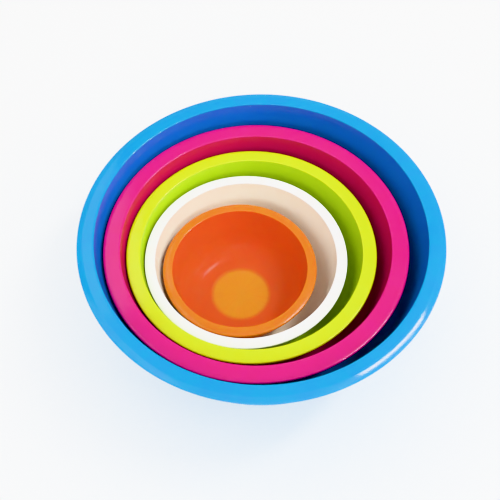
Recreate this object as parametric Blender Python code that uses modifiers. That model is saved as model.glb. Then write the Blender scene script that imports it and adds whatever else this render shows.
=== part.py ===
"""Nested set of five one-piece mixing bowls, used to mix hair colour.

Each bowl is a single gloss plastic moulding, turned about its own upright axis:
a flat floor with a shallow well, a large corner radius, a wall with moulding
draft, a broad lip whose outer part turns down, and a foot ring under the floor.
The bowls stand one inside the other, each foot in the floor well of the bowl
around it, and they have slid off centre towards -X and -Y.

Units are metres and +Z is up. The origin is the centre of the largest bowl's
foot, on the surface that the set stands on.
"""

import math

import bmesh
import bpy

COLLECTION_NAME = "hair_color_mixing_bowls"

# Every bowl has the same section, scaled from its mouth, with these fixed thicknesses.
WALL_THICKNESS = 0.0020
FOOT_HEIGHT = 0.0026
FOOT_WIDTH = 0.0026
WELL_DEPTH = 0.0008
WELL_SLOPE = 0.0009
NESTING_GAP = 0.0003
DRAFT_ANGLE = math.radians(9.5)

# Shares of the mouth's radius.
DEPTH_SHARE = 0.822
WELL_SHARE = 0.458

# Foot ring's outer face, inside the well's edge.
FOOT_INSET = 0.0010

# The lip is a flange as thick as the wall. Shares of its width: the rounding at its
# inner edge, and where its flat top starts to turn down.
INNER_SHARE = 0.10
RISE_SHARE = 0.05
TURN_SHARE = 0.50
JUNCTION_RADIUS = 0.0015

# Facets round a turn, and along the arcs of a section.
TURN_STEPS = 56
CORNER_SEGMENTS = 6
LIP_INNER_SEGMENTS = 2
LIP_TURN_SEGMENTS = 2
LIP_EDGE_SEGMENTS = 3
JUNCTION_SEGMENTS = 2

SHARP_ANGLE = math.radians(35.0)
PLASTIC_ROUGHNESS = 0.22

# Largest bowl first. Offset is the place of a bowl's axis, seen from above. Droop is the
# slope of the lip, in degrees, at its shoulder, which lies at a share of the lip's width.
BOWLS = (
    {
        "name": "blue_bowl",
        "rim_diameter": 0.2820,
        "lip_width": 0.0133,
        "droop": 32.0,
        "shoulder": 0.93,
        "offset": (0.0, 0.0),
        "color": (0.010, 0.405, 0.855),
    },
    {
        "name": "magenta_bowl",
        "rim_diameter": 0.2376,
        "lip_width": 0.0132,
        "droop": 12.0,
        "shoulder": 0.90,
        "offset": (-0.0039, -0.0023),
        "color": (0.830, 0.012, 0.270),
    },
    {
        "name": "lime_bowl",
        "rim_diameter": 0.1974,
        "lip_width": 0.0109,
        "droop": 10.0,
        "shoulder": 0.90,
        "offset": (-0.0075, -0.0032),
        "color": (0.730, 0.830, 0.018),
    },
    {
        "name": "white_bowl",
        "rim_diameter": 0.1612,
        "lip_width": 0.0083,
        "droop": 10.0,
        "shoulder": 0.90,
        "offset": (-0.0118, -0.0061),
        "color": (0.900, 0.885, 0.880),
    },
    {
        "name": "orange_bowl",
        "rim_diameter": 0.1240,
        "lip_width": 0.0076,
        "droop": 30.0,
        "shoulder": 0.93,
        "offset": (-0.0168, -0.0098),
        "color": (0.880, 0.235, 0.025),
    },
)


def clear_scene():
    for scene_object in list(bpy.data.objects):
        bpy.data.objects.remove(scene_object, do_unlink=True)


def arc(centre, radii, start, end, segments):
    """Points (r, z) along an elliptical arc from angle start to end, in degrees."""
    points = []
    for step in range(segments + 1):
        angle = math.radians(start + (end - start) * step / segments)
        points.append((
            centre[0] + radii[0] * math.cos(angle),
            centre[1] + radii[1] * math.sin(angle),
        ))
    return points


def corner_radius(mouth_radius, well_radius, depth):
    """Radius that joins the ledge and the drafted wall with no kink."""
    reach = mouth_radius - well_radius - depth * math.tan(DRAFT_ANGLE)
    return reach / (1.0 / math.cos(DRAFT_ANGLE) - math.tan(DRAFT_ANGLE))


def bowl_section(rim_radius, lip_width, droop, shoulder_share):
    """Half section of a bowl, from the floor's centre over the lip to its underside."""
    mouth_radius = rim_radius - lip_width
    depth = DEPTH_SHARE * mouth_radius
    well_radius = WELL_SHARE * mouth_radius
    floor_height = FOOT_HEIGHT + WALL_THICKNESS
    ledge_height = floor_height + WELL_DEPTH
    mouth_height = ledge_height + depth
    radius = corner_radius(mouth_radius, well_radius, depth)
    corner_centre = (well_radius, ledge_height + radius)
    draft_degrees = math.degrees(DRAFT_ANGLE)

    floor = [(0.0, floor_height), (well_radius - WELL_SLOPE, floor_height)]
    inner_corner = arc(corner_centre, (radius, radius), -90.0, -draft_degrees, CORNER_SEGMENTS)

    # The lip's top: a rounded inner edge, a flat, an arc that turns down, a rounded rim.
    slope = math.radians(droop)
    inner_reach = INNER_SHARE * lip_width
    rise = RISE_SHARE * lip_width
    top_height = mouth_height + rise
    turn_start = mouth_radius + TURN_SHARE * lip_width
    shoulder_radius = mouth_radius + shoulder_share * lip_width
    turn_radius = (shoulder_radius - turn_start) / math.sin(slope)
    shoulder_height = top_height - turn_radius * (1.0 - math.cos(slope))
    edge_radius = (rim_radius - shoulder_radius) / (1.0 - math.sin(slope))
    edge_centre = (rim_radius - edge_radius, shoulder_height - edge_radius * math.cos(slope))
    lip_inside = arc(
        (mouth_radius + inner_reach, mouth_height), (inner_reach, rise),
        180.0, 90.0, LIP_INNER_SEGMENTS,
    )
    lip_turn = arc(
        (turn_start, top_height - turn_radius), (turn_radius, turn_radius),
        90.0, 90.0 - droop, LIP_TURN_SEGMENTS,
    )
    lip_edge = arc(
        edge_centre, (edge_radius, edge_radius), 90.0 - droop, 0.0, LIP_EDGE_SEGMENTS
    )

    # Its underside, parallel to the top, and the inside corner where it meets the wall.
    under_height = top_height - WALL_THICKNESS
    junction_height = under_height - JUNCTION_RADIUS
    wall_outer_radius = (
        mouth_radius + WALL_THICKNESS / math.cos(DRAFT_ANGLE)
        - (mouth_height - junction_height) * math.tan(DRAFT_ANGLE)
    )
    lip_under = [
        (rim_radius, shoulder_height - WALL_THICKNESS),
        (shoulder_radius, shoulder_height - WALL_THICKNESS),
        (turn_start, under_height),
    ]
    junction = arc(
        (wall_outer_radius + JUNCTION_RADIUS, junction_height),
        (JUNCTION_RADIUS, JUNCTION_RADIUS), 90.0, 180.0, JUNCTION_SEGMENTS,
    )
    outer_radius = radius + WALL_THICKNESS
    outer_corner = arc(
        corner_centre, (outer_radius, outer_radius), -draft_degrees, -90.0, CORNER_SEGMENTS
    )
    foot_radius = well_radius - FOOT_INSET
    foot = [
        (foot_radius, FOOT_HEIGHT + WELL_DEPTH),
        (foot_radius, 0.0),
        (foot_radius - FOOT_WIDTH, 0.0),
        (foot_radius - FOOT_WIDTH, FOOT_HEIGHT),
        (0.0, FOOT_HEIGHT),
    ]
    return (
        floor + inner_corner + lip_inside + lip_turn + lip_edge[1:] + lip_under
        + junction + outer_corner + foot
    )


def turned_mesh(name, section):
    """Mesh made by turning a half section about Z with a Screw modifier."""
    profile_mesh = bpy.data.meshes.new(name + "_section")
    builder = bmesh.new()
    points = [builder.verts.new((r, 0.0, z)) for r, z in section]
    for first, second in zip(points, points[1:]):
        builder.edges.new((first, second))
    builder.to_mesh(profile_mesh)
    builder.free()

    profile = bpy.data.objects.new(name + "_section", profile_mesh)
    bpy.context.scene.collection.objects.link(profile)
    screw = profile.modifiers.new("turn", "SCREW")
    screw.axis = "Z"
    screw.angle = 2.0 * math.pi
    screw.steps = TURN_STEPS
    screw.render_steps = TURN_STEPS
    screw.use_merge_vertices = True
    screw.merge_threshold = 0.00001

    depsgraph = bpy.context.evaluated_depsgraph_get()
    mesh = bpy.data.meshes.new_from_object(profile.evaluated_get(depsgraph))
    mesh.name = name
    bpy.data.objects.remove(profile, do_unlink=True)
    bpy.data.meshes.remove(profile_mesh)
    mesh.shade_smooth()
    mesh.set_sharp_from_angle(angle=SHARP_ANGLE)
    return mesh


def gloss_plastic(name, color):
    material = bpy.data.materials.new(name)
    material.use_nodes = True
    shader = material.node_tree.nodes["Principled BSDF"]
    shader.inputs["Base Color"].default_value = (*color, 1.0)
    shader.inputs["Roughness"].default_value = PLASTIC_ROUGHNESS
    shader.inputs["Metallic"].default_value = 0.0
    return material


def add_bowl(collection, bowl, foot_level):
    section = bowl_section(
        bowl["rim_diameter"] / 2.0, bowl["lip_width"], bowl["droop"], bowl["shoulder"]
    )
    mesh = turned_mesh(bowl["name"], section)
    mesh.materials.append(gloss_plastic(bowl["name"] + "_plastic", bowl["color"]))
    bowl_object = bpy.data.objects.new(bowl["name"], mesh)
    bowl_object.location = (*bowl["offset"], foot_level)
    collection.objects.link(bowl_object)


def build():
    clear_scene()
    collection = bpy.data.collections.new(COLLECTION_NAME)
    bpy.context.scene.collection.children.link(collection)
    foot_level = 0.0
    for bowl in BOWLS:
        add_bowl(collection, bowl, foot_level)
        foot_level += FOOT_HEIGHT + WALL_THICKNESS + NESTING_GAP


build()
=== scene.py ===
"""Looks of a nested set of five gloss plastic mixing bowls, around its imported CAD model.

Each bowl is turned again at a fine step from the CAD bowl's own box, with the small
features of a real moulding: rounded edges, a witness line round the lip, tool rings in
the floor well, and a gate mark underneath. Lengths are in metres.
"""

import math

import bpy
from mathutils import Matrix, Quaternion, Vector


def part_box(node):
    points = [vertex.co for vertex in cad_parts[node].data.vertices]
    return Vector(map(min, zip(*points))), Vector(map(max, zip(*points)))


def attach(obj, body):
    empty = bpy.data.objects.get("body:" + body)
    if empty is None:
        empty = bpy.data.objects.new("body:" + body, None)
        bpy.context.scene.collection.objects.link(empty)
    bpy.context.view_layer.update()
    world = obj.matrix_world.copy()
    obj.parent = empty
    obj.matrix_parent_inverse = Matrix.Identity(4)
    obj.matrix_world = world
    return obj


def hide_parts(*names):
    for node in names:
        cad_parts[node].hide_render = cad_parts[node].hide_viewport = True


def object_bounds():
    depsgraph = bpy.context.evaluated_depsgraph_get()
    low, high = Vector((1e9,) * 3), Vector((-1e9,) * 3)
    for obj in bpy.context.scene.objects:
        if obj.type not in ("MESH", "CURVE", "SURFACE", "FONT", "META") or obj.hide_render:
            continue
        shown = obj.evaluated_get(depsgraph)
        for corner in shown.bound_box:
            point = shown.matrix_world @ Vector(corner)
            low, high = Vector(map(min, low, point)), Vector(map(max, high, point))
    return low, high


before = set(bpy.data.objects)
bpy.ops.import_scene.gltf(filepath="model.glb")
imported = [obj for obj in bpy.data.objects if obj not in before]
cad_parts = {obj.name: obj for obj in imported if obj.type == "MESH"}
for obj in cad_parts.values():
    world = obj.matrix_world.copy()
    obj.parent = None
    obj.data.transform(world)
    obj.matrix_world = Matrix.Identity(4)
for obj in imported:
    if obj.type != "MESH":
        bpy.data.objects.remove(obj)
CAD_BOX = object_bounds()

# Section of every bowl, as in the CAD model.
WALL_THICKNESS = 0.0020
FOOT_HEIGHT = 0.0026
FOOT_WIDTH = 0.0026
FOOT_INSET = 0.0010
WELL_DEPTH = 0.0008
DRAFT_ANGLE = math.radians(9.5)
DEPTH_SHARE = 0.822
WELL_SHARE = 0.458
INNER_SHARE = 0.10
RISE_SHARE = 0.05
JUNCTION_RADIUS = 0.0015

# Fine features that the CAD model leaves out, and the well's edge, gentler than the CAD's.
TURN_STEPS = 192
ARC_STEP = math.radians(4.0)
ROUNDING_STEPS = 6
WELL_SLOPE = 0.0022
WELL_FLARE = 0.0006
WELL_EDGE_RADIUS = 0.0009
RIM_EDGE_RADIUS = 0.0003
FOOT_EDGE_RADIUS = 0.0007
FOOT_ROOT_RADIUS = 0.0005
WITNESS_HEIGHT = 0.00012
WITNESS_RISE = 0.00006
GATE_DISH_RADIUS = 0.0040
GATE_DISH_DEPTH = 0.0004
GATE_STUB_RADIUS = 0.0011

# Surface marks: sizes in metres, scales per metre. A band is where a noise's value is cut,
# from its low end to its high end. A set of scratches has its slant in radians, its spacing
# and the shift of its noise.
CLOUD_SCALE = 16.0
CLOUD_TINT_BAND = (0.30, 0.72)
CLOUD_GLOSS_BAND = (0.25, 0.75)
CLOUD_TINT = 0.05
SMUDGE_SCALE = 38.0
SMUDGE_BAND = (0.50, 0.72)
SMUDGE_ROUGHNESS = 0.05
FLOW_LINES = 9.0
FLOW_LENGTH = 7.0
FLOW_BAND = (0.35, 0.70)
FLOW_TINT = 0.10
FLOW_DEPTH = 0.00006
PEEL_SCALE = 420.0
PEEL_DEPTH = 0.000012
TOOL_RING_PITCH = 0.0009
TOOL_RING_DEPTH = 0.000006
SCRATCH_SETS = ((0.5, 0.0016, 3.1), (2.1, 0.00208, 7.9))
SCRATCH_STRETCH = (1.0, 0.035, 0.5)
SCRATCH_CUT = 0.78
SCRATCH_FADE = 0.03
SCRATCH_DEPTH = 0.000005
SCRATCH_ROUGHNESS = 0.05
WEAR_SCALE = 900.0
WEAR_BAND = (0.38, 0.62)
WEAR_DEPTH = 0.00005
WEAR_TINT = 0.35
WEAR_ROUGHNESS = 0.28
REFRACTIVE_INDEX = 1.42
LIP_ROUGHNESS = 0.07
LIP_SPECULAR = 0.5
WALL_ROUGHNESS = 0.16
ROUGHNESS_SPREAD = 0.05

# Where a bowl's zones fade into each other, in metres: radii from the well's edge, heights
# above the foot, and heights and radii from the mouth. A face is outside by how far it
# turns outward and down.
WELL_ZONE_RADII = (-0.0040, 0.0020)
WELL_ZONE_HEIGHTS = (0.0052, 0.0066)
FOOT_ZONE_HEIGHTS = (0.0002, 0.0011)
LIP_ZONE_HEIGHTS = (-0.0008, 0.0002)
LIP_ZONE_RADII = (0.0022, 0.0030)
OUTSIDE_ZONE = (-0.2, 0.2)

# Each bowl's lip: its width, as in the CAD model, the slope in degrees of its outer part, and
# the shares of its width where it starts to turn down, where it reaches that slope, and
# where its edge starts. Then its plastic: linear colours of its lip, of its inner wall with
# painted light and shade (the hollow's bounce light and shade; on the white bowl a painted
# peach reflection of the orange bowl), of its thin floor, painted lighter for the light that
# comes through it, and of its scuffs, the distance that light scatters inside it, and its
# wall's specular level.
BOWLS = {
    "blue": {
        "lip_width": 0.0133,
        "droop": 14.0,
        "turn_and_shoulder": (0.54, 0.69, 0.92),
        "lip": (0.004, 0.252, 0.480),
        "wall": (0.026, 0.157, 0.545),
        "floor": (0.020, 0.190, 0.560),
        "scuffed": (0.250, 0.600, 0.900),
        "scatter": (0.0020, 0.0020, 0.0020),
        "wall_specular": 0.50,
    },
    "magenta": {
        "lip_width": 0.0132,
        "droop": 12.0,
        "turn_and_shoulder": (0.72, 0.92, 0.93),
        "lip": (0.495, 0.013, 0.170),
        "wall": (0.500, 0.026, 0.094),
        "floor": (0.520, 0.014, 0.120),
        "scuffed": (0.920, 0.300, 0.480),
        "scatter": (0.0020, 0.0020, 0.0020),
        "wall_specular": 0.25,
    },
    "lime": {
        "lip_width": 0.0109,
        "droop": 10.0,
        "turn_and_shoulder": (0.70, 0.91, 0.92),
        "lip": (0.440, 0.505, 0.013),
        "wall": (0.445, 0.640, 0.036),
        "floor": (0.440, 0.610, 0.030),
        "scuffed": (0.820, 0.900, 0.350),
        "scatter": (0.0020, 0.0020, 0.0020),
        "wall_specular": 0.50,
    },
    "white": {
        "lip_width": 0.0083,
        "droop": 10.0,
        "turn_and_shoulder": (0.70, 0.91, 0.92),
        "lip": (0.705, 0.702, 0.705),
        "wall": (0.995, 0.875, 0.745),
        "floor": (0.995, 0.875, 0.745),
        "scuffed": (0.820, 0.810, 0.790),
        "scatter": (0.00012, 0.00012, 0.00012),
        "wall_specular": 0.50,
    },
    "orange": {
        "lip_width": 0.0076,
        "droop": 14.0,
        "turn_and_shoulder": (0.46, 0.62, 0.87),
        "lip": (0.475, 0.160, 0.010),
        "wall": (0.535, 0.104, 0.038),
        "floor": (0.570, 0.250, 0.040),
        "scuffed": (0.930, 0.480, 0.260),
        "scatter": (0.0080, 0.0030, 0.0010),
        "wall_specular": 0.09,
    },
}

# Camera: above the near side, looking down at the nest.
CAMERA_PLACE = Vector((0.0, -0.3213, 0.5872))
CAMERA_AIM = Vector((-0.0081, -0.0212, 0.1125))
CAMERA_ROLL = math.radians(-0.89)
CAMERA_LENS_MM = 54.0
SENSOR_MM = 36.0

# Studio lights: azimuth and elevation in degrees, distance, size, power in watts, and
# the turn of the lamp about its own axis in degrees.
LIGHTS = {
    "key": (5.0, 59.0, 1.5, (0.55, 0.16), 14.5, -50.0),
    "right": (0.0, 52.0, 1.5, (1.2, 1.2), 1.6, 0.0),
    "low_right": (-10.0, 24.0, 1.4, (0.8, 0.3), 5.0, 0.0),
    "front_right": (-50.0, 56.0, 1.5, (0.7, 0.7), 2.0, 0.0),
    "front": (-90.0, 60.0, 1.5, (2.0, 1.4), 6.4, 0.0),
    "low_front": (-90.0, 28.0, 1.4, (0.8, 0.4), 4.6, 0.0),
    "front_left": (-135.0, 50.0, 1.5, (0.7, 0.7), 1.8, 0.0),
    "left": (180.0, 56.0, 1.5, (0.7, 0.7), 2.4, 0.0),
    "back_left": (130.0, 50.0, 1.5, (0.6, 0.6), 1.6, 0.0),
    "top": (0.0, 89.0, 1.5, (1.8, 1.8), 3.6, 0.0),
}
WHITE = (1.0, 1.0, 1.0)
WORLD_STRENGTH = 0.88

FLOOR_SIZE = 30.0
FLOOR_COLOR = (0.80, 0.80, 0.80)
FLOOR_ROUGHNESS = 0.6
FLOOR_GLOW = 0.25


def arc(centre, radii, start, end):
    """Points (r, z) along an elliptical arc from angle start to end, in radians."""
    steps = max(2, math.ceil(abs(end - start) / ARC_STEP))
    points = []
    for step in range(steps + 1):
        angle = start + (end - start) * step / steps
        points.append((
            centre[0] + radii[0] * math.cos(angle),
            centre[1] + radii[1] * math.sin(angle),
        ))
    return points


def rounded(before, corner, after, radius):
    """Points of a quadratic curve that rounds one corner of a section."""
    start = Vector(corner) + (Vector(before) - Vector(corner)).normalized() * radius
    end = Vector(corner) + (Vector(after) - Vector(corner)).normalized() * radius
    points = []
    for step in range(ROUNDING_STEPS + 1):
        share = step / ROUNDING_STEPS
        rest = 1 - share
        point = start * rest ** 2 + Vector(corner) * 2 * share * rest + end * share ** 2
        points.append((point.x, point.y))
    return points


def bowl_section(rim_radius, bowl):
    """Half section of a bowl, from the floor's centre over the lip to its underside."""
    lip_width = bowl["lip_width"]
    mouth_radius = rim_radius - lip_width
    depth = DEPTH_SHARE * mouth_radius
    well_radius = WELL_SHARE * mouth_radius
    floor_height = FOOT_HEIGHT + WALL_THICKNESS
    ledge_height = floor_height + WELL_DEPTH
    mouth_height = ledge_height + depth
    reach = mouth_radius - well_radius - depth * math.tan(DRAFT_ANGLE)
    radius = reach / (1.0 / math.cos(DRAFT_ANGLE) - math.tan(DRAFT_ANGLE))
    corner_centre = (well_radius, ledge_height + radius)
    quarter = math.pi / 2

    well_top = (well_radius + WELL_FLARE, ledge_height)
    well_foot = (well_top[0] - WELL_SLOPE, floor_height)
    inner_corner = arc(corner_centre, (radius, radius), -quarter, -DRAFT_ANGLE)
    floor = (
        [(0.0, floor_height)]
        + rounded((0.0, floor_height), well_foot, well_top, WELL_EDGE_RADIUS)
        + rounded(well_foot, well_top, inner_corner[1], WELL_EDGE_RADIUS)
    )

    # The lip's top: a rounded inner edge, a flat, an arc that turns down, a slope, a rounded rim.
    slope = math.radians(bowl["droop"])
    edge_face = rim_radius - WITNESS_RISE
    inner_reach = INNER_SHARE * lip_width
    rise = RISE_SHARE * lip_width
    top_height = mouth_height + rise
    turn_start, turn_end, shoulder_radius = (
        mouth_radius + share * lip_width for share in bowl["turn_and_shoulder"]
    )
    turn_radius = (turn_end - turn_start) / math.sin(slope)
    turn_drop = turn_radius * (1.0 - math.cos(slope))
    shoulder_height = top_height - turn_drop - (shoulder_radius - turn_end) * math.tan(slope)
    edge_radius = (edge_face - shoulder_radius) / (1.0 - math.sin(slope))
    edge_centre = (edge_face - edge_radius, shoulder_height - edge_radius * math.cos(slope))
    lip_inside = arc(
        (mouth_radius + inner_reach, mouth_height), (inner_reach, rise), math.pi, quarter
    )
    lip_turn = arc(
        (turn_start, top_height - turn_radius), (turn_radius, turn_radius),
        quarter, quarter - slope,
    )
    lip_edge = arc(edge_centre, (edge_radius, edge_radius), quarter - slope, 0.0)

    # A witness line, where the two halves of the mould met, stands just proud of the rim.
    witness_top = edge_centre[1] - 0.5 * WITNESS_HEIGHT
    witness = [
        (edge_face, witness_top),
        (rim_radius, witness_top - 0.5 * WITNESS_HEIGHT),
        (rim_radius, witness_top - 1.0 * WITNESS_HEIGHT),
        (edge_face, witness_top - 1.5 * WITNESS_HEIGHT),
    ]
    under_height = top_height - WALL_THICKNESS
    junction_height = under_height - JUNCTION_RADIUS
    rim_low = (edge_face, shoulder_height - WALL_THICKNESS)
    shoulder_low = (shoulder_radius, shoulder_height - WALL_THICKNESS)
    turn_low = (turn_start, under_height)
    wall_outer_radius = (
        mouth_radius + WALL_THICKNESS / math.cos(DRAFT_ANGLE)
        - (mouth_height - junction_height) * math.tan(DRAFT_ANGLE)
    )
    junction = arc(
        (wall_outer_radius + JUNCTION_RADIUS, junction_height),
        (JUNCTION_RADIUS, JUNCTION_RADIUS), quarter, math.pi,
    )
    lip_under = (
        rounded(witness[-1], rim_low, shoulder_low, RIM_EDGE_RADIUS)
        + rounded(rim_low, shoulder_low, turn_low, RIM_EDGE_RADIUS)
        + rounded(shoulder_low, turn_low, junction[0], RIM_EDGE_RADIUS)
    )
    outer_radius = radius + WALL_THICKNESS
    outer_corner = arc(corner_centre, (outer_radius, outer_radius), -DRAFT_ANGLE, -quarter)

    foot_radius = well_radius - FOOT_INSET
    foot_inside = foot_radius - FOOT_WIDTH
    root = (foot_radius, FOOT_HEIGHT + WELL_DEPTH)
    foot_corners = [root, (foot_radius, 0.0), (foot_inside, 0.0), (foot_inside, FOOT_HEIGHT)]
    foot = (
        rounded(outer_corner[-1], root, foot_corners[1], FOOT_ROOT_RADIUS)
        + rounded(root, foot_corners[1], foot_corners[2], FOOT_EDGE_RADIUS)
        + rounded(foot_corners[1], foot_corners[2], foot_corners[3], FOOT_EDGE_RADIUS)
        + rounded(foot_corners[2], foot_corners[3], (0.0, FOOT_HEIGHT), FOOT_ROOT_RADIUS)
    )
    # The gate's stub stands in a shallow dish at the middle of the underside.
    gate = [
        (GATE_DISH_RADIUS, FOOT_HEIGHT),
        (GATE_DISH_RADIUS - GATE_DISH_DEPTH, FOOT_HEIGHT + GATE_DISH_DEPTH),
        (GATE_STUB_RADIUS, FOOT_HEIGHT + GATE_DISH_DEPTH),
        (GATE_STUB_RADIUS, FOOT_HEIGHT),
        (0.0, FOOT_HEIGHT),
    ]
    return (
        floor + inner_corner[1:] + lip_inside + lip_turn + lip_edge[1:] + witness
        + lip_under + junction + outer_corner + foot + gate
    )


def turned_mesh(name, section):
    """Closed mesh of a half section turned about Z; its first and last points lie on the axis."""
    ring_points = section[1:-1]
    vertices = []
    for radius, height in ring_points:
        for step in range(TURN_STEPS):
            angle = 2.0 * math.pi * step / TURN_STEPS
            vertices.append((radius * math.cos(angle), radius * math.sin(angle), height))
    first_pole = len(vertices)
    vertices.append((0.0, 0.0, section[0][1]))
    vertices.append((0.0, 0.0, section[-1][1]))

    faces = []
    for step in range(TURN_STEPS):
        after = (step + 1) % TURN_STEPS
        faces.append((first_pole, step, after))
        for ring in range(len(ring_points) - 1):
            row = ring * TURN_STEPS
            below = row + TURN_STEPS
            faces.append((row + step, below + step, below + after, row + after))
        last_row = (len(ring_points) - 1) * TURN_STEPS
        faces.append((last_row + step, first_pole + 1, last_row + after))
    mesh = bpy.data.meshes.new(name)
    mesh.from_pydata(vertices, [], faces)
    mesh.shade_smooth()
    mesh.update()
    return mesh


class Nodes:
    """Short calls for building one material's node tree."""

    def __init__(self, material):
        material.use_nodes = True
        self.tree = material.node_tree
        self.shader = self.tree.nodes["Principled BSDF"]

    def add(self, kind, inputs=None, **settings):
        node = self.tree.nodes.new(kind)
        for key, value in settings.items():
            setattr(node, key, value)
        for socket, value in (inputs or {}).items():
            self.feed(node.inputs[socket], value)
        return node

    def feed(self, socket, value):
        """Link an output to a socket, or set the socket to a constant."""
        if isinstance(value, bpy.types.NodeSocket):
            self.tree.links.new(value, socket)
        else:
            socket.default_value = value

    def maths(self, operation, *values, clamp=False):
        node = self.add("ShaderNodeMath", operation=operation, use_clamp=clamp)
        for socket, value in zip(node.inputs, values):
            self.feed(socket, value)
        return node.outputs[0]

    def noise(self, vector, scale, detail=3.0, roughness=0.5, distortion=0.0):
        node = self.add("ShaderNodeTexNoise", {
            "Vector": vector, "Scale": scale, "Detail": detail,
            "Roughness": roughness, "Distortion": distortion,
        })
        return node.outputs["Fac"]

    def spread(self, value, low, high, out_low=0.0, out_high=1.0):
        """Map low..high to out_low..out_high, clamped, with soft ends."""
        node = self.add("ShaderNodeMapRange", {
            "Value": value, "From Min": low, "From Max": high,
            "To Min": out_low, "To Max": out_high,
        }, interpolation_type="SMOOTHSTEP")
        return node.outputs["Result"]

    def mix(self, share, first, second, blend="MIX"):
        node = self.add("ShaderNodeMix", data_type="RGBA", blend_type=blend)
        self.feed(node.inputs[0], share)
        self.feed(node.inputs[6], first)
        self.feed(node.inputs[7], second)
        return node.outputs[2]

    def bump(self, height, depth, normal=None):
        node = self.add("ShaderNodeBump", {"Height": height, "Distance": depth, "Strength": 1.0})
        if normal is not None:
            self.feed(node.inputs["Normal"], normal)
        return node.outputs["Normal"]


def opaque(color):
    return (*color, 1.0)


def scratches(nodes, place, angle, spacing, shift):
    """Thin straight marks at one slant: stretched noise, cut to its narrow peaks."""
    stretch = nodes.add("ShaderNodeMapping", {
        "Vector": place,
        "Location": (shift, shift * 0.7, shift * 1.3),
        "Rotation": (angle * 0.6, 0.35, angle),
        "Scale": tuple(share / spacing for share in SCRATCH_STRETCH),
    })
    field = nodes.noise(stretch.outputs["Vector"], 1.0, detail=1.0)
    return nodes.spread(field, SCRATCH_CUT, SCRATCH_CUT + SCRATCH_FADE)


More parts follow.
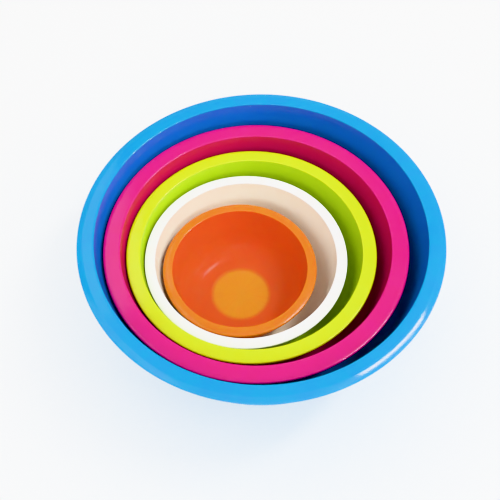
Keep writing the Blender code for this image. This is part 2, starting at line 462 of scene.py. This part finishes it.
def moulded_plastic(name, bowl, well_radius, mouth_radius, mouth_height):
    """Gloss moulded plastic: flow lines, smudges, fine scratches, tool rings and a worn foot, with
    painted light and shade in the colours of its inner wall and floor.
    """
    material = bpy.data.materials.new(name)
    nodes = Nodes(material)
    where = nodes.add("ShaderNodeTexCoord")
    place = where.outputs["Object"]
    parts = nodes.add("ShaderNodeSeparateXYZ", {"Vector": place})
    height = parts.outputs["Z"]
    flat = nodes.add("ShaderNodeVectorMath", {0: place, 1: (1.0, 1.0, 0.0)}, operation="MULTIPLY")
    radius = nodes.add("ShaderNodeVectorMath", {0: flat.outputs[0]}, operation="LENGTH")
    radius = radius.outputs["Value"]
    outward = nodes.add("ShaderNodeVectorMath", {0: flat.outputs[0]}, operation="NORMALIZE")

    # Melt runs out from the gate, so its lines are long from floor to lip and narrow round the bowl.
    run = nodes.maths("ADD", radius, height)
    heading = nodes.add("ShaderNodeSeparateXYZ", {"Vector": outward.outputs[0]})
    flow_place = nodes.add("ShaderNodeCombineXYZ", {
        "X": nodes.maths("MULTIPLY", heading.outputs["X"], FLOW_LINES),
        "Y": nodes.maths("MULTIPLY", heading.outputs["Y"], FLOW_LINES),
        "Z": nodes.maths("MULTIPLY", run, FLOW_LENGTH),
    })
    flow = nodes.noise(flow_place.outputs[0], 1.0, detail=4.0, distortion=0.6)
    clouds = nodes.noise(place, CLOUD_SCALE, detail=3.0, distortion=0.4)
    smudges = nodes.noise(place, SMUDGE_SCALE, detail=5.0, distortion=1.2)
    smudges = nodes.spread(smudges, *SMUDGE_BAND)
    marks = nodes.maths("MAXIMUM", *(scratches(nodes, place, *facts) for facts in SCRATCH_SETS))

    # The floor's well is painted lighter, standing in for the light that comes through the thin
    # floor, and the foot is worn by the table.
    in_well = nodes.spread(radius, *(well_radius + reach for reach in WELL_ZONE_RADII), 1.0, 0.0)
    low_down = nodes.spread(height, *WELL_ZONE_HEIGHTS, 1.0, 0.0)
    in_well = nodes.maths("MULTIPLY", in_well, low_down)
    grain = nodes.noise(place, WEAR_SCALE, detail=4.0, roughness=0.7)
    worn = nodes.spread(height, *FOOT_ZONE_HEIGHTS, 1.0, 0.0)
    worn = nodes.maths("MULTIPLY", worn, nodes.spread(grain, *WEAR_BAND))

    on_lip = nodes.maths(
        "MAXIMUM",
        nodes.spread(height, *(mouth_height + rise for rise in LIP_ZONE_HEIGHTS)),
        nodes.spread(radius, *(mouth_radius + reach for reach in LIP_ZONE_RADII)),
    )

    # The lip and the outer wall, seen in open light, take the lip's colour; the inner wall takes the
    # painted copy, with the painted bounce light and shade of the hollow.
    facing = nodes.add("ShaderNodeVectorMath", {
        0: where.outputs["Normal"], 1: outward.outputs[0],
    }, operation="DOT_PRODUCT")
    upward = nodes.add("ShaderNodeSeparateXYZ", {"Vector": where.outputs["Normal"]})
    outside = nodes.maths("SUBTRACT", facing.outputs["Value"], upward.outputs["Z"])
    outside = nodes.spread(outside, *OUTSIDE_ZONE)
    in_lip_color = nodes.maths("MAXIMUM", on_lip, outside)
    # Painted light and shade: below the lip, the inner wall gets a tinted copy of the plastic for
    # the hollow's bounce light and shade.
    color = nodes.mix(in_lip_color, opaque(bowl["wall"]), opaque(bowl["lip"]))
    # Painted light: the well's floor takes a lighter colour for the light that comes through it.
    color = nodes.mix(in_well, color, opaque(bowl["floor"]))
    denser = nodes.spread(flow, *FLOW_BAND, 0.0, FLOW_TINT)
    color = nodes.mix(denser, color, opaque(bowl["wall"]))
    shade = nodes.spread(clouds, *CLOUD_TINT_BAND, 1.0 - CLOUD_TINT, 1.0)
    shade_color = nodes.add("ShaderNodeCombineColor", {"Red": shade, "Green": shade, "Blue": shade})
    color = nodes.mix(1.0, color, shade_color.outputs[0], blend="MULTIPLY")
    scuffed = nodes.maths("MULTIPLY", worn, WEAR_TINT)
    color = nodes.mix(scuffed, color, opaque(bowl["scuffed"]))
    nodes.feed(nodes.shader.inputs["Base Color"], color)

    gloss = nodes.spread(on_lip, 0.0, 1.0, WALL_ROUGHNESS, LIP_ROUGHNESS)
    gloss = nodes.maths("ADD", gloss, nodes.spread(clouds, *CLOUD_GLOSS_BAND, 0.0, ROUGHNESS_SPREAD))
    for mark, roughness in (
        (smudges, SMUDGE_ROUGHNESS), (marks, SCRATCH_ROUGHNESS), (worn, WEAR_ROUGHNESS)
    ):
        gloss = nodes.maths("ADD", gloss, nodes.maths("MULTIPLY", mark, roughness), clamp=True)
    nodes.feed(nodes.shader.inputs["Roughness"], gloss)

    specular = nodes.spread(on_lip, 0.0, 1.0, bowl["wall_specular"], LIP_SPECULAR)
    nodes.feed(nodes.shader.inputs["Specular IOR Level"], specular)

    rings = nodes.maths("SINE", nodes.maths("MULTIPLY", radius, 2.0 * math.pi / TOOL_RING_PITCH))
    rings = nodes.maths("MULTIPLY", rings, in_well)
    peel = nodes.noise(place, PEEL_SCALE, detail=2.0)
    normal = nodes.bump(peel, PEEL_DEPTH)
    normal = nodes.bump(flow, FLOW_DEPTH, normal)
    normal = nodes.bump(rings, TOOL_RING_DEPTH, normal)
    normal = nodes.bump(nodes.maths("SUBTRACT", 1.0, marks), SCRATCH_DEPTH, normal)
    normal = nodes.bump(nodes.maths("MULTIPLY", grain, worn), WEAR_DEPTH, normal)
    nodes.feed(nodes.shader.inputs["Normal"], normal)

    nodes.shader.inputs["Metallic"].default_value = 0.0
    nodes.shader.inputs["IOR"].default_value = REFRACTIVE_INDEX
    nodes.shader.inputs["Subsurface Weight"].default_value = 1.0
    nodes.shader.inputs["Subsurface Radius"].default_value = bowl["scatter"]
    nodes.shader.inputs["Subsurface Scale"].default_value = 1.0
    return material


def make_bowl(name, bowl):
    node = name + "_bowl"
    low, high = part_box(node)
    rim_radius = (high[0] - low[0]) / 2.0
    section = bowl_section(rim_radius, bowl)
    piece = bpy.data.objects.new(name + "_bowl_moulding", turned_mesh(name + "_moulding", section))
    piece.location = ((low[0] + high[0]) / 2.0, (low[1] + high[1]) / 2.0, low[2])
    bpy.context.scene.collection.objects.link(piece)
    bpy.context.view_layer.update()
    mouth_radius = rim_radius - bowl["lip_width"]
    mouth_height = FOOT_HEIGHT + WALL_THICKNESS + WELL_DEPTH + DEPTH_SHARE * mouth_radius
    piece.data.materials.append(moulded_plastic(
        name + "_moulded_plastic", bowl, WELL_SHARE * mouth_radius, mouth_radius, mouth_height
    ))
    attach(piece, node)
    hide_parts(node)


def make_floor():
    material = bpy.data.materials.new("studio_floor")
    material.use_nodes = True
    shader = material.node_tree.nodes["Principled BSDF"]
    shader.inputs["Base Color"].default_value = opaque(FLOOR_COLOR)
    shader.inputs["Roughness"].default_value = FLOOR_ROUGHNESS
    shader.inputs["Emission Color"].default_value = opaque(WHITE)
    shader.inputs["Emission Strength"].default_value = FLOOR_GLOW
    bpy.ops.mesh.primitive_plane_add(size=FLOOR_SIZE, location=(0.0, 0.0, CAD_BOX[0][2]))
    floor = bpy.context.active_object
    floor.name = "studio_floor"
    floor.data.materials.append(material)


def area_light(name, azimuth, elevation, distance, size, power, roll, target):
    """A soft light, placed by its direction from the target and turned to it."""
    azimuth = math.radians(azimuth)
    elevation = math.radians(elevation)
    direction = Vector((
        math.cos(elevation) * math.cos(azimuth),
        math.cos(elevation) * math.sin(azimuth),
        math.sin(elevation),
    ))
    light = bpy.data.lights.new(name, "AREA")
    light.shape = "RECTANGLE"
    light.size = size[0]
    light.size_y = size[1]
    light.energy = power
    lamp = bpy.data.objects.new(name, light)
    lamp.location = target + direction * distance
    facing = direction.to_track_quat("Z", "Y")
    lamp.rotation_euler = (facing @ Quaternion((0.0, 0.0, 1.0), math.radians(roll))).to_euler()
    bpy.context.scene.collection.objects.link(lamp)


def make_world(strength):
    world = bpy.data.worlds.new("studio")
    world.use_nodes = True
    background = world.node_tree.nodes["Background"]
    background.inputs["Color"].default_value = opaque(WHITE)
    background.inputs["Strength"].default_value = strength
    bpy.context.scene.world = world


def make_camera():
    camera_data = bpy.data.cameras.new("camera")
    camera_data.lens = CAMERA_LENS_MM
    camera_data.sensor_width = SENSOR_MM
    camera = bpy.data.objects.new("camera", camera_data)
    turn = (CAMERA_PLACE - CAMERA_AIM).to_track_quat("Z", "Y").to_matrix().to_4x4()
    roll = Matrix.Rotation(CAMERA_ROLL, 4, "Z")
    camera.matrix_world = Matrix.Translation(CAMERA_PLACE) @ turn @ roll
    bpy.context.scene.collection.objects.link(camera)
    bpy.context.scene.camera = camera


for bowl_name, bowl_facts in BOWLS.items():
    make_bowl(bowl_name, bowl_facts)
make_floor()
rim_middle = Vector((0.0, 0.0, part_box("blue_bowl")[1][2]))
for light_name, light_facts in LIGHTS.items():
    area_light(light_name, *light_facts, rim_middle)
make_world(WORLD_STRENGTH)
make_camera()
bpy.context.scene.view_settings.view_transform = "Khronos PBR Neutral"
